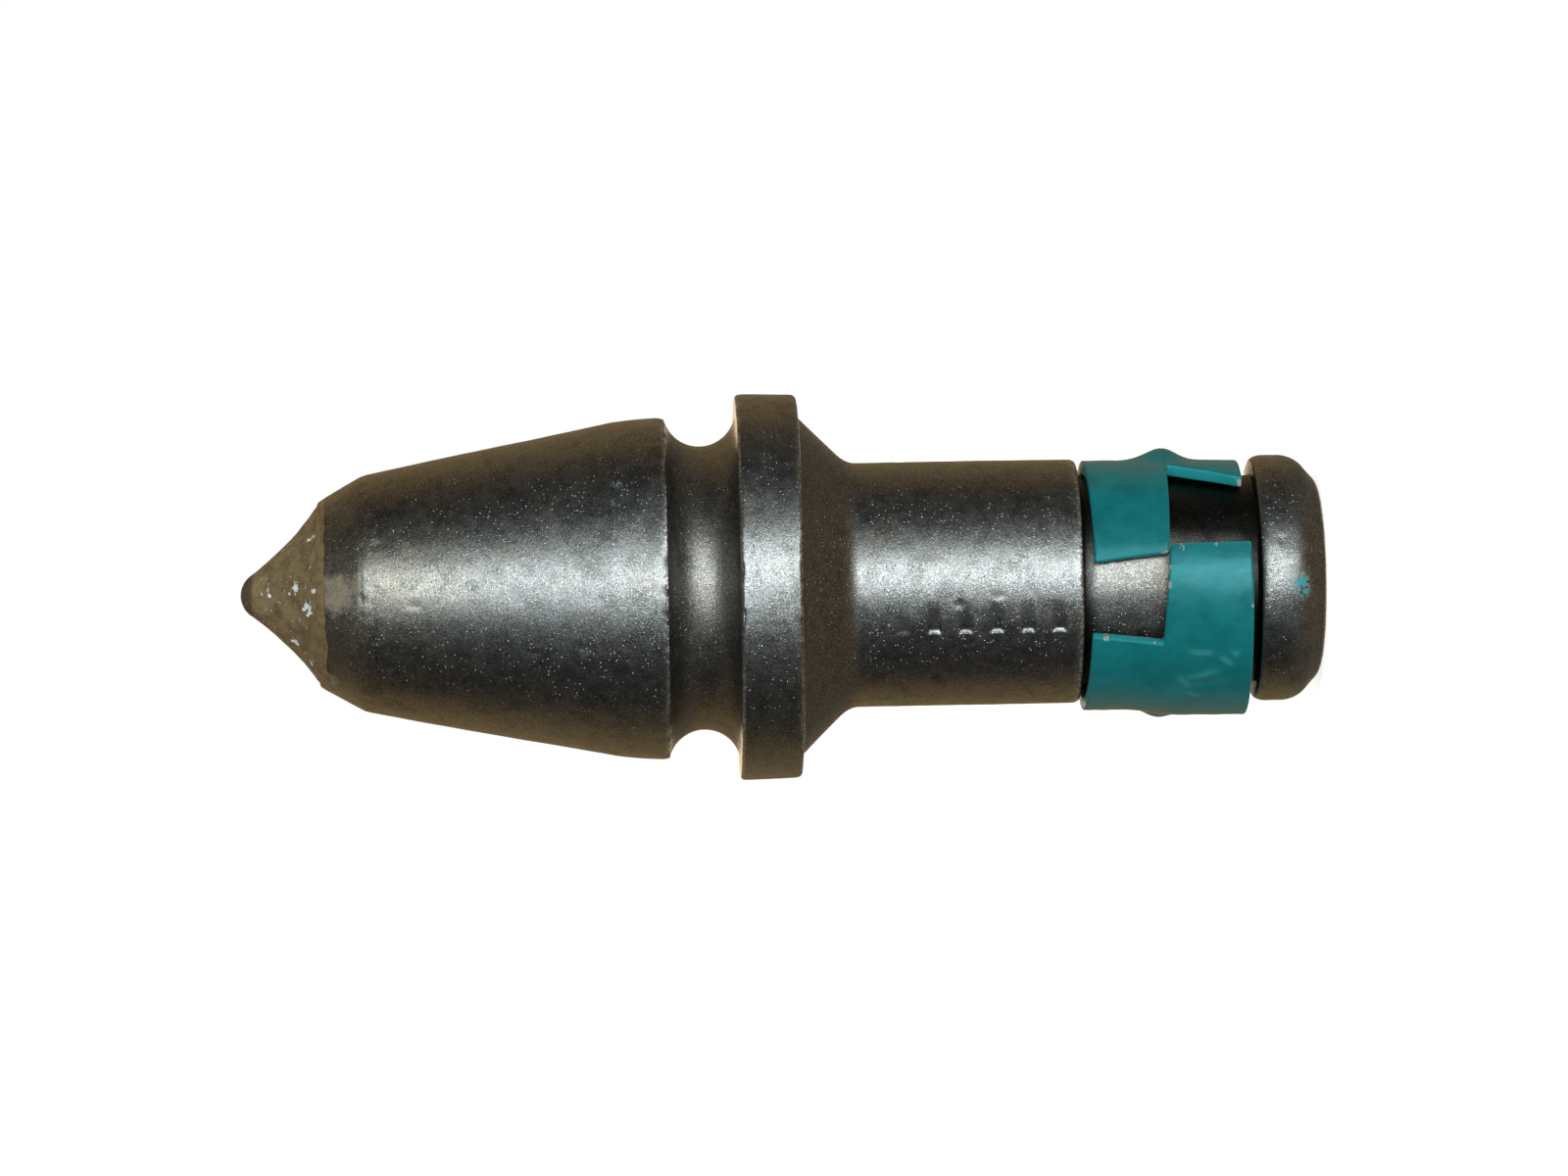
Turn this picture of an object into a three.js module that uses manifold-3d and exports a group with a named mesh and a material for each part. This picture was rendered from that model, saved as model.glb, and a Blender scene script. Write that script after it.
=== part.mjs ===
// A round-shank conical cutting pick: the bullet-shaped tooth of rock augers, trenchers and drill buckets.
// Millimetres, degrees, +Z up. The pick stands on its butt, tip up, on the Z axis, and z = 0 is the butt face.
// Angles are turns about +Z, counted from -Y towards +X.
import * as THREE from 'three';
import { mergeVertices } from 'three/addons/utils/BufferGeometryUtils.js';
import Module from 'manifold-3d';

// Driving dimensions. The shank's nominal diameter is the size that picks of this family are sold by.
const shankDiameter = 24.9;
const overallLength = 110;
const collarDiameter = 39.4;
const collarTaper = 0.15;
const carbideDiameter = 18.4;

// Heights above the butt face.
const knobTop = 6.9;
const shankEnd = 24.7;
const shoulderFoot = 48.15;
const seatHeight = 53.1;
const collarTop = 59.4;
const coneFoot = 66.5;
const coneTop = 97.3;
const noseFace = 101.2;

// Radii that follow from no other.
const buttRadius = 8.8;
const knobRadius = 12.55;
const retainerGrooveRadius = 10.5;
const seatInnerRadius = 17.3;
const coneFootRadius = 17.4;
const coneTopRadius = 12.08;
const noseFaceRadius = 9.85;
const pullerGrooveRadius = 3.7;
const pullerGrooveFloor = 14.45;

// The carbide's seat in the nose, and the braze that fills it.
const seatFloorRadius = 3.5;
const seatFloorDepth = 4.2;
const seatLedgeDepth = 1.2;
const brazeThickness = 0.22;
const jointGap = 0.03;

// The spring sleeve, cut from sheet and rolled, with a stepped slot between its two ends.
const sleeveOuterRadius = 12.7;
const sheetThickness = 1.3;
const sleeveFoot = 7.8;
const sleeveTop = 24.2;
const slotStep = 16.3;
const slotSlit = 0.3;
const upperSlot = { foot: [-28, 15], top: [-24.5, 10.5] };
const lowerSlot = { foot: [20, 58], top: [19, 73] };
const slitAngles = [14, 20];
const dimpleAngles = [90, 170, 250];
const dimpleRadius = 3.2;
const dimpleHeight = 1.25;
const sleeveSag = 0.5;
const sleeveTilt = 0.6;

// Facets: around a full turn, and along each rounded stretch of an outline.
const turnSegments = 48;
const curveSegments = 3;

const shankRadius = shankDiameter / 2;
const collarRadius = collarDiameter / 2;
const carbideRadius = carbideDiameter / 2;

const wasm = await Module();
wasm.setup();

const forgedSteel = new THREE.MeshStandardMaterial({ color: 0x4a453e, roughness: 0.45, metalness: 0.9 });
const carbide = new THREE.MeshStandardMaterial({ color: 0x6c5a3c, roughness: 0.6, metalness: 0.4 });
const brass = new THREE.MeshStandardMaterial({ color: 0x8a744c, roughness: 0.5, metalness: 0.7 });
const tealPaint = new THREE.MeshStandardMaterial({ color: 0x057376, roughness: 0.4, metalness: 0.0 });

function radians(degrees) {
  return THREE.MathUtils.degToRad(degrees);
}

// Turns an outline drawn in radius and height about Z. It runs with the solid on its left-hand side.
function turned(outline) {
  const geometry = new THREE.LatheGeometry(outline.getPoints(curveSegments), turnSegments);
  geometry.rotateX(Math.PI / 2);
  return geometry;
}

function pickBody() {
  const outline = new THREE.Path();
  buttKnob(outline);
  retainerGrooveAndShank(outline);
  shoulderAndCollar(outline);
  pullerGroove(outline);
  coneAndNose(outline);
  carbideSeat(outline);
  return turned(outline);
}

function buttKnob(outline) {
  outline.moveTo(0, 0);
  outline.lineTo(buttRadius, 0);
  outline.quadraticCurveTo(9.6, 0.05, 10.2, 0.5);
  outline.lineTo(11.3, 1.5);
  outline.quadraticCurveTo(12.45, 2.3, knobRadius, 3.7);
  outline.lineTo(knobRadius, 5.5);
  outline.quadraticCurveTo(knobRadius, 6.7, knobRadius - 0.65, knobTop);
}

function retainerGrooveAndShank(outline) {
  const chamfer = 0.4;
  outline.lineTo(retainerGrooveRadius, knobTop);
  outline.lineTo(retainerGrooveRadius, shankEnd);
  outline.lineTo(shankRadius - chamfer, shankEnd);
  outline.lineTo(shankRadius, shankEnd + chamfer);
}

// The shank's fillet, the 45 degree shoulder, the narrow flat seat and the collar.
function shoulderAndCollar(outline) {
  const fillet = 1.0;
  const edge = 0.5;
  const rearRadius = collarRadius - collarTaper;
  const shoulderSlope = (seatHeight - shoulderFoot) / (seatInnerRadius - shankRadius);
  outline.lineTo(shankRadius, shoulderFoot - fillet);
  outline.quadraticCurveTo(shankRadius, shoulderFoot, shankRadius + fillet, shoulderFoot + fillet * shoulderSlope);
  outline.lineTo(seatInnerRadius, seatHeight);
  outline.lineTo(rearRadius - edge, seatHeight);
  outline.quadraticCurveTo(rearRadius, seatHeight, rearRadius, seatHeight + edge);
  outline.lineTo(collarRadius, collarTop - edge);
  outline.quadraticCurveTo(collarRadius, collarTop, collarRadius - edge, collarTop);
}

// A round groove between the collar and the cone, which an extractor fork goes into.
function pullerGroove(outline) {
  const centreRadius = pullerGrooveFloor + pullerGrooveRadius;
  const centreHeight = collarTop + pullerGrooveRadius - 0.1;
  const start = -Math.PI + Math.asin((centreHeight - collarTop) / pullerGrooveRadius);
  const end = -Math.PI - Math.asin((coneFoot - centreHeight) / pullerGrooveRadius);
  outline.absarc(centreRadius, centreHeight, pullerGrooveRadius, start, end, true);
}

function coneAndNose(outline) {
  const edge = 0.25;
  const land = 2.2;
  outline.lineTo(coneFootRadius - edge, coneFoot);
  outline.lineTo(coneFootRadius, coneFoot + edge);
  outline.quadraticCurveTo(coneFootRadius - 0.05, coneFoot + land, 16.95, coneFoot + 2.5 * land);
  outline.lineTo(coneTopRadius, coneTop);
  outline.lineTo(noseFaceRadius, noseFace);
}

function carbideSeat(outline) {
  const wallRadius = carbideRadius + brazeThickness + 2 * jointGap;
  outline.lineTo(wallRadius, noseFace);
  outline.lineTo(wallRadius, noseFace - seatLedgeDepth);
  outline.lineTo(seatFloorRadius, noseFace - seatFloorDepth);
  outline.lineTo(0, noseFace - seatFloorDepth);
}

// The seat's surface from the axis out to its wall, moved into the seat by an inset.
function seatOutline(inset) {
  const wallRadius = carbideRadius + brazeThickness + 2 * jointGap;
  return [
    new THREE.Vector2(0, noseFace - seatFloorDepth + inset),
    new THREE.Vector2(seatFloorRadius, noseFace - seatFloorDepth + inset),
    new THREE.Vector2(wallRadius - inset, noseFace - seatLedgeDepth + inset),
  ];
}

// A cup of braze metal that fills the seat and stands up as a bead around the carbide's base.
function brazeSeam() {
  const beadTop = noseFace + 0.75;
  const outside = seatOutline(jointGap);
  const inside = seatOutline(jointGap + brazeThickness);
  const wallRadius = outside[2].x;
  const innerRadius = inside[2].x;
  const outline = new THREE.Path(outside);
  outline.lineTo(wallRadius, noseFace + jointGap);
  outline.lineTo(noseFaceRadius - 0.05, noseFace + jointGap);
  outline.quadraticCurveTo(noseFaceRadius - 0.3, noseFace + 0.35, innerRadius + 0.05, beadTop);
  outline.lineTo(innerRadius, beadTop - 0.05);
  outline.lineTo(innerRadius, inside[2].y);
  outline.lineTo(inside[1].x, inside[1].y);
  outline.lineTo(inside[0].x, inside[0].y);
  return turned(outline);
}

// The tungsten carbide insert: a blunt ball nose, a flank that flares out, and a hidden conical seat.
function carbideTip() {
  const noseRadius = 2.45;
  const noseHalfAngle = radians(39);
  const noseCentre = overallLength - noseRadius;
  const flankRadius = noseRadius * Math.cos(noseHalfAngle);
  const flankHeight = noseCentre + noseRadius * Math.sin(noseHalfAngle);
  const outline = new THREE.Path(seatOutline(brazeThickness + 2 * jointGap));
  outline.lineTo(carbideRadius, noseFace + 0.45);
  outline.quadraticCurveTo(carbideRadius, noseFace + 0.7, carbideRadius - 0.5, noseFace + 1.1);
  outline.quadraticCurveTo(5.35, overallLength - 5.5, flankRadius, flankHeight);
  outline.absarc(0, noseCentre, noseRadius, noseHalfAngle, Math.PI / 2, false);
  outline.lineTo(0, overallLength);
  return turned(outline);
}

// A closed three.js geometry as a solid that can be cut and joined.
function solid(geometry) {
  const bare = geometry.index ? geometry.toNonIndexed() : geometry.clone();
  bare.deleteAttribute('normal');
  bare.deleteAttribute('uv');
  const merged = mergeVertices(bare, 1e-4);
  const corners = merged.index.array;
  const kept = [];
  for (let i = 0; i < corners.length; i += 3) {
    const [a, b, c] = corners.slice(i, i + 3);
    if (a !== b && b !== c && c !== a) {
      kept.push(a, b, c);
    }
  }
  const vertProperties = new Float32Array(merged.attributes.position.array);
  return new wasm.Manifold(new wasm.Mesh({ numProp: 3, vertProperties, triVerts: new Uint32Array(kept) }));
}

function geometryOf(manifold) {
  const mesh = manifold.getMesh();
  const geometry = new THREE.BufferGeometry();
  geometry.setAttribute('position', new THREE.BufferAttribute(mesh.vertProperties, 3));
  geometry.setIndex(new THREE.BufferAttribute(mesh.triVerts, 1));
  geometry.computeVertexNormals();
  return geometry;
}

function pointAt(degrees, radius) {
  return new THREE.Vector2(radius * Math.sin(radians(degrees)), -radius * Math.cos(radians(degrees)));
}

// A wedge that opens out from the Z axis between two angles, which may differ at its foot and at its top.
function wedge(footHeight, topHeight, footAngles, topAngles) {
  const reach = 3 * sleeveOuterRadius;
  const foot = footAngles.map((angle) => pointAt(angle, reach));
  const top = topAngles.map((angle) => pointAt(angle, reach));
  const shape = new THREE.Shape([new THREE.Vector2(0, 0), ...foot]);
  const geometry = new THREE.ExtrudeGeometry(shape, { depth: topHeight - footHeight, bevelEnabled: false });
  const position = geometry.attributes.position;
  for (let i = 0; i < position.count; i += 1) {
    const here = new THREE.Vector2(position.getX(i), position.getY(i));
    const corner = foot.findIndex((point) => point.distanceTo(here) < 0.01);
    if (corner >= 0 && position.getZ(i) > 0) {
      position.setXY(i, top[corner].x, top[corner].y);
    }
  }
  geometry.translate(0, 0, footHeight);
  return solid(geometry);
}

// A bell-shaped bump of a given height and foot radius, standing on a short plug, with its axis along Z.
function bell(height, footRadius, plugDepth) {
  const steps = 6;
  const points = [new THREE.Vector2(0, -plugDepth), new THREE.Vector2(footRadius, -plugDepth)];
  for (let i = steps; i >= 0; i -= 1) {
    const rise = 0.5 + 0.5 * Math.cos((Math.PI * i) / steps);
    points.push(new THREE.Vector2((footRadius * i) / steps, height * rise));
  }
  const geometry = new THREE.LatheGeometry(points, turnSegments / 2);
  geometry.rotateX(Math.PI / 2);
  return geometry;
}

// Stands a shape that points along +Z on the sleeve, pointing outwards at an angle.
function placedOnSleeve(geometry, degrees, radius) {
  geometry.rotateX(Math.PI / 2);
  geometry.translate(0, -radius, 0);
  geometry.rotateZ(radians(degrees));
  geometry.translate(0, 0, slotStep);
  return solid(geometry);
}

// The split sleeve. A plain ring is embossed with dimples and then cut by the stepped slot.
function retainingSleeve() {
  const innerRadius = sleeveOuterRadius - sheetThickness;
  const edge = 0.25;
  const section = new THREE.Path();
  section.moveTo(innerRadius, sleeveFoot);
  section.lineTo(sleeveOuterRadius - edge, sleeveFoot);
  section.lineTo(sleeveOuterRadius, sleeveFoot + edge);
  section.lineTo(sleeveOuterRadius, sleeveTop - edge);
  section.lineTo(sleeveOuterRadius - edge, sleeveTop);
  section.lineTo(innerRadius, sleeveTop);
  section.lineTo(innerRadius, sleeveFoot);
  let sleeve = solid(turned(section));
  const plug = sheetThickness / 2;
  for (const angle of dimpleAngles) {
    sleeve = sleeve.add(placedOnSleeve(bell(dimpleHeight, dimpleRadius, plug), angle, sleeveOuterRadius));
    const recess = bell(dimpleHeight - 0.3, dimpleRadius - 0.8, sheetThickness);
    sleeve = sleeve.subtract(placedOnSleeve(recess, angle, innerRadius - 0.15));
  }
  const overrun = 1;
  const slit = slotSlit / 2;
  sleeve = sleeve.subtract(wedge(slotStep - slit, sleeveTop + overrun, upperSlot.foot, upperSlot.top));
  sleeve = sleeve.subtract(wedge(sleeveFoot - overrun, slotStep + slit, lowerSlot.foot, lowerSlot.top));
  sleeve = sleeve.subtract(wedge(slotStep - slit, slotStep + slit, slitAngles, slitAngles));
  return geometryOf(sleeve);
}

function named(name, geometry, material) {
  const mesh = new THREE.Mesh(geometry, material);
  mesh.name = name;
  return mesh;
}

const pick = new THREE.Group();
pick.add(named('pick_body', pickBody(), forgedSteel));
pick.add(named('carbide_tip', carbideTip(), carbide));
pick.add(named('braze_seam', brazeSeam(), brass));

// The sleeve is loose in its groove and lies against one side of it, a little out of line.
const sleeve = named('retaining_sleeve', retainingSleeve(), tealPaint);
const sleeveMiddle = (sleeveFoot + sleeveTop) / 2;
const hang = new THREE.Group();
sleeve.position.z = -sleeveMiddle;
hang.position.set(-sleeveSag, 0, sleeveMiddle);
hang.rotation.y = radians(sleeveTilt);
hang.add(sleeve);
pick.add(hang);

export default pick;
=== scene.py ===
"""A round-shank conical cutting pick: a forged steel body, a brazed carbide tip and a split teal sleeve.

Outlines are in millimetres, radius and height above the butt face, as in the CAD model. Angles are turns
about +Z in degrees, counted from -Y, which faces the camera, towards +X.
"""
import math
import random

import bmesh
import bpy
import numpy as np
from mathutils import Matrix, Vector, noise


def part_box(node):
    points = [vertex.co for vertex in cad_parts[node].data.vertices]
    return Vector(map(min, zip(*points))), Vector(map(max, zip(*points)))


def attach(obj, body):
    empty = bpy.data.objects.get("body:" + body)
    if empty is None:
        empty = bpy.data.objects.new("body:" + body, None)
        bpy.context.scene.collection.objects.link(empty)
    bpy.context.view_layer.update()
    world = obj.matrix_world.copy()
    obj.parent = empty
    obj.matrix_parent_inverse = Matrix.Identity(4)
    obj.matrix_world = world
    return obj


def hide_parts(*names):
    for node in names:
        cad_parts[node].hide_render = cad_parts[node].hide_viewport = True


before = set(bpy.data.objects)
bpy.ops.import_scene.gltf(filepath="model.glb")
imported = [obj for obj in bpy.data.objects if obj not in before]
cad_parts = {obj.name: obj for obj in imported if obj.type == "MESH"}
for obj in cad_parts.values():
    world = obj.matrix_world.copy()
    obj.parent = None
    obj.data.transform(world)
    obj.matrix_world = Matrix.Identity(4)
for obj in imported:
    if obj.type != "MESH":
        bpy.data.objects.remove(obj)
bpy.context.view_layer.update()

MM = 0.001

# The CAD model's own dimensions, in millimetres.
SHANK = 12.45
COLLAR = 19.7
COLLAR_TAPER = 0.15
CARBIDE = 9.2
KNOB = 12.55
KNOB_TOP = 6.9
SHANK_END = 24.7
SHOULDER_FOOT = 48.15
SEAT_HEIGHT = 53.1
SEAT_INNER = 17.3
COLLAR_TOP = 59.4
CONE_FOOT = 66.5
CONE_FOOT_RADIUS = 17.4
CONE_TOP = 97.3
CONE_TOP_RADIUS = 12.08
NOSE_FACE = 101.2
NOSE_FACE_RADIUS = 9.85
TIP_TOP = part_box("carbide_tip")[1].z / MM
BUTT = 8.8
RETAINER_GROOVE = 10.5
PULLER_GROOVE_RADIUS = 3.7
PULLER_GROOVE_FLOOR = 14.45
SEAT_WALL = 9.48
SEAT_FLOOR = 3.5
SEAT_FLOOR_DEPTH = 4.2
SEAT_LEDGE_DEPTH = 1.2
BRAZE = 0.22
JOINT_GAP = 0.03

# The sleeve, as in the CAD model but with a finer slit between the two halves of its slot.
SLEEVE_OUTER = 12.7
SHEET = 1.3
SLEEVE_FOOT = 7.8
SLEEVE_TOP = 24.2
SLOT_STEP = 16.3
SLOT_SLIT = 0.14
DIMPLE_ANGLES = (90, 170, 250)
DIMPLE_HEIGHT = 1.25
DIMPLE_SPREAD = 1.5
SLEEVE_SAG = 0.5
SLEEVE_TILT = 0.6

# The row of punch marks along the shank.
MARKS_ANGLE = -16.0
MARKS_LOW = 27.3
MARKS_PITCH = 3.14
MARKS_COUNT = 6

# Edges of the body that are worn: radius, height, depth of the wear, and whether they are worn bright.
WORN_EDGES = (
    (CONE_FOOT_RADIUS, CONE_FOOT + 0.1, 0.42, True),
    (COLLAR, COLLAR_TOP, 0.34, True),
    (COLLAR - COLLAR_TAPER, SEAT_HEIGHT, 0.34, True),
    (CONE_TOP_RADIUS, CONE_TOP, 0.12, False),
    (SHANK, SHANK_END + 0.3, 0.08, True),
    (KNOB, KNOB_TOP - 0.4, 0.08, False),
)

# Tan patches on the nose's chamfer: angle, half width in degrees, and reach. The first, on the side that
# faces the camera, is a painted warm reflection; the others are where the brazing flux has stained the
# chamfer.
FLUX_STAINS_AND_REFLECTION = (
    (-1, 14, 9),
    (-66, 20, 1.6),
    (110, 22, 2.5),
    (190, 12, 9),
)

# Smears of the sleeve's paint on the steel: angle, height and size.
SMEARS = (
    (-2, 2.9, 0.7),
    (-7, 2.7, 0.45),
    (38, 71.5, 0.25),
    (31, 71.8, 0.2),
)

# Chips in the carbide: angle, height and size.
CHIPS = (
    (6, 104.2, 0.5),
    (-9, 103.0, 0.55),
    (-13, 102.7, 0.35),
    (43, 102.6, 0.34),
    (3, 102.1, 0.22),
    (0, 106.9, 0.2),
    (-52, 104.3, 0.5),
    (120, 103.6, 0.38),
    (205, 103.0, 0.45),
    (228, 104.6, 0.3),
    (300, 102.8, 0.35),
)

# Where the braze has run furthest down the chamfer: angle, half width in degrees, and reach.
BRAZE_RUNS = (
    (-66, 15, 0.5),
    (-30, 9, 0.3),
    (140, 12, 0.7),
    (215, 18, 0.6),
)

# How finely the outlines are divided.
FINE = 0.12
STEP = 0.45
COARSE = 0.8


# ---------------------------------------------------------------- outlines and turned pieces


def turn_between(start, end):
    """The turn from one angle to another, between -180 and 180 degrees. Works on arrays too."""
    return (end - start + 180) % 360 - 180


class Outline:
    """A chain of points in radius and height, drawn as lines, bends and arcs in short steps."""

    def __init__(self, r, z):
        self.points = [(r, z)]

    def line(self, r, z, step=STEP):
        r0, z0 = self.points[-1]
        n = max(1, round(math.hypot(r - r0, z - z0) / step))
        for i in range(1, n + 1):
            t = i / n
            self.points.append((r0 + (r - r0) * t, z0 + (z - z0) * t))

    def bend(self, via_r, via_z, r, z, step=FINE):
        """A quadratic curve that heads for its middle point and ends at its last."""
        r0, z0 = self.points[-1]
        length = math.hypot(via_r - r0, via_z - z0) + math.hypot(r - via_r, z - via_z)
        n = max(3, round(length / step))
        for i in range(1, n + 1):
            t = i / n
            a, b, c = (1 - t) ** 2, 2 * t * (1 - t), t * t
            self.points.append((a * r0 + b * via_r + c * r, a * z0 + b * via_z + c * z))

    def arc(self, centre_r, centre_z, radius, start, end, step):
        n = max(3, round(abs(math.radians(end - start)) * radius / step))
        for i in range(n + 1):
            a = math.radians(start + (end - start) * i / n)
            self.points.append((centre_r + radius * math.cos(a), centre_z + radius * math.sin(a)))


def outline_normals(points):
    """Unit normals that point out of the solid, for an outline that has it on the left."""
    p = np.array(points)
    along = np.gradient(p, axis=0)
    out = np.stack([along[:, 1], -along[:, 0]], axis=1)
    return out / np.maximum(np.linalg.norm(out, axis=1, keepdims=True), 1e-9)


class Turned:
    """A turned surface as arrays of rows by columns. Dents and noise are added before it becomes a mesh.

    Its outline starts and ends on the axis.
    """

    def __init__(self, outline, angles):
        self.points = np.array(outline.points)
        self.normals = outline_normals(outline.points)
        self.angles = np.array(angles)
        columns = len(angles)
        self.r = np.repeat(self.points[:, :1], columns, axis=1)
        self.z = np.repeat(self.points[:, 1:], columns, axis=1)
        self.lift = np.zeros_like(self.r)

    def across(self, angle):
        """How far each point lies round the piece from an angle, in millimetres."""
        return np.radians(turn_between(angle, self.angles))[None, :] * self.r

    def band(self, angle, half_width):
        """One inside a band of angles and nothing outside it, with soft edges."""
        return np.exp(-((turn_between(angle, self.angles) / half_width) ** 4))[None, :]

    def spot(self, angle, height, size):
        """A soft round spot that is one at its middle."""
        return np.exp(-((self.across(angle) ** 2 + (self.z - height) ** 2) / size**2))

    def press(self, angle, height, width, length, depth):
        """Presses in a square recess that deepens towards a steep wall on its side of lower angles."""
        across = self.across(angle)
        reach = 1 + np.maximum((abs(across) - width) / width, (abs(self.z - height) - length) / width)
        wall = 0.28 / width
        outer = self.normals[:, :1] > 0.2
        deeper = np.clip(0.5 - across / (2 * width), 0, 1) ** 1.3
        self.lift -= np.where(outer, depth * deeper * (1 - smooth_step(1 - wall, 1, reach)), 0)

    def dent(self, angle, height, width, length, depth, lip=0.0):
        """Presses an oval dent into the outer surface. A lip raises a rim round it."""
        reach = np.sqrt((self.across(angle) / width) ** 2 + ((self.z - height) / length) ** 2)
        outer = self.normals[:, :1] > 0.2
        self.lift -= np.where(outer, depth * np.exp(-(reach**4)), 0)
        self.lift += np.where(outer, lip * np.exp(-(((reach - 1.35) / 0.3) ** 2)), 0)

    def roughen(self, size, relief, seed, low):
        """Adds smooth noise, with features of a size and of a relief, above a height on the piece."""
        offset = Vector((seed * 17.3, seed * 5.1, seed * 9.7))
        rows = np.nonzero(self.points[:, 1] >= low)[0]
        turns = [(math.sin(math.radians(a)), -math.cos(math.radians(a))) for a in self.angles]
        for i in rows:
            r, z = self.points[i]
            for j, (x, y) in enumerate(turns):
                self.lift[i, j] += relief * noise.noise(Vector((x * r, y * r, z)) / size + offset)

    def nick(self, r, z, depth, spread, seed):
        """Wears an edge ring unevenly, with small notches."""
        distance = np.hypot(self.points[:, 0] - r, self.points[:, 1] - z)
        weight = np.exp(-((distance / spread) ** 2))
        turns = np.radians(self.angles)
        wear = np.empty(len(turns))
        for j, a in enumerate(turns):
            place = Vector((math.sin(a) * r, math.cos(a) * r, seed * 3.7))
            notch = max(0.0, noise.noise(place / 0.8) - 0.15) * 1.6
            wear[j] = 0.25 + 0.35 * noise.noise(place / 3.0) + notch
        self.lift -= depth * weight[:, None] * wear[None, :]

    def build(self, name):
        """The finished mesh object."""
        r = (self.r + self.lift * self.normals[:, :1]) * MM
        z = (self.z + self.lift * self.normals[:, 1:]) * MM
        a = np.radians(self.angles)[None, :]
        grid = np.stack([r * np.sin(a), -r * np.cos(a), z], axis=2)[1:-1]
        rows, columns = grid.shape[:2]
        verts = [tuple(p) for p in grid.reshape(-1, 3)]
        faces = []
        for i in range(rows - 1):
            low, high = i * columns, (i + 1) * columns
            for j in range(columns):
                k = (j + 1) % columns
                faces.append((low + j, low + k, high + k, high + j))
        first, last = len(verts), len(verts) + 1
        verts.append((0, 0, self.points[0, 1] * MM))
        verts.append((0, 0, self.points[-1, 1] * MM))
        top = (rows - 1) * columns
        for j in range(columns):
            k = (j + 1) % columns
            faces.append((k, j, first))
            faces.append((top + j, top + k, last))
        mesh = bpy.data.meshes.new(name)
        mesh.from_pydata(verts, [], faces)
        mesh.validate()
        return smooth_object(mesh, sharp=38)

    def paint(self, piece, name, values):
        """Stores one number for each point of the mesh, for a material to read."""
        flat = np.concatenate([values[1:-1].reshape(-1), values[[0, -1], 0]])
        layer = piece.data.attributes.new(name, "FLOAT", "POINT")
        layer.data.foreach_set("value", flat.astype(np.float32))


def linked(name, data):
    """A new object in the scene."""
    made = bpy.data.objects.new(name, data)
    bpy.context.scene.collection.objects.link(made)
    return made


def smooth_object(mesh, sharp):
    """A new object for a mesh that is smooth but for its edges over an angle."""
    mesh.shade_smooth()
    mesh.set_sharp_from_angle(angle=math.radians(sharp))
    return linked(mesh.name, mesh)


def smooth_step(low, high, x):
    t = np.clip((x - low) / (high - low), 0, 1)
    return t * t * (3 - 2 * t)


# ---------------------------------------------------------------- the body


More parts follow.
